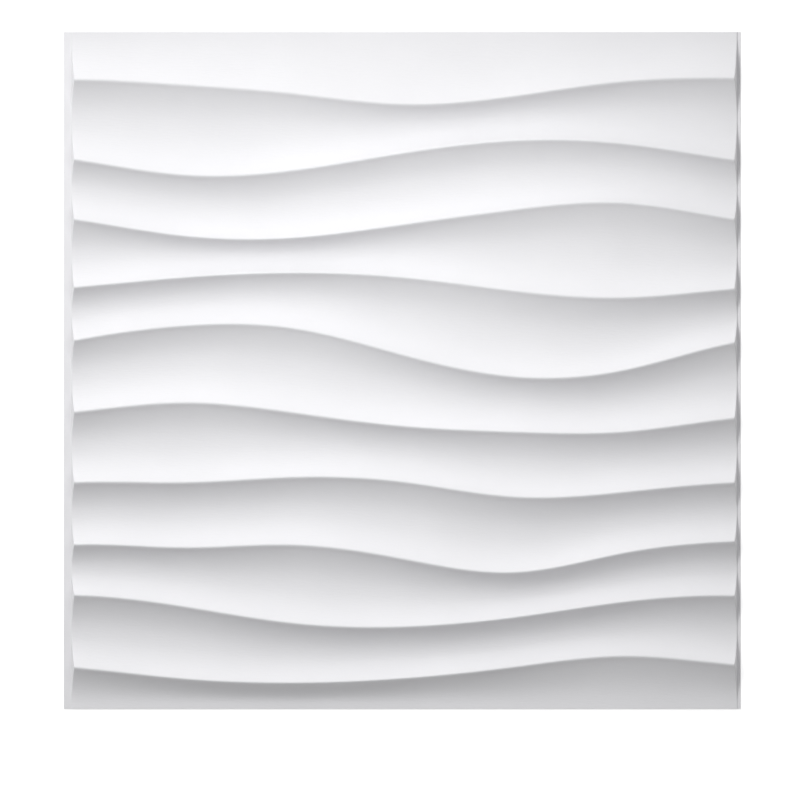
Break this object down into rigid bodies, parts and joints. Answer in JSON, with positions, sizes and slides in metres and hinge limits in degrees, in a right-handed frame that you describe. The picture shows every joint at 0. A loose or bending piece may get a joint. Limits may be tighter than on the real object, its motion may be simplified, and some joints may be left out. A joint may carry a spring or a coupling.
{
  "type": "3d wall panel tile",
  "caption": "Square white plastic 3d wall panel with flowing, nearly horizontal wave ridges, thin-formed from one sheet with narrow glueing flanges at its sides",
  "frame": {"origin": "middle of the panel in the plane that its flanges rest on", "axes": "+X to the right and +Y to the top edge of the wave pattern as it hangs on a wall, +Z out of its face"},
  "size_m": [0.5, 0.5, 0.0135],
  "materials": {
    "white_pvc": "matte"
  },
  "bodies": {
    "root": {"wave_panel": "white_pvc"}
  },
  "joints": []
}
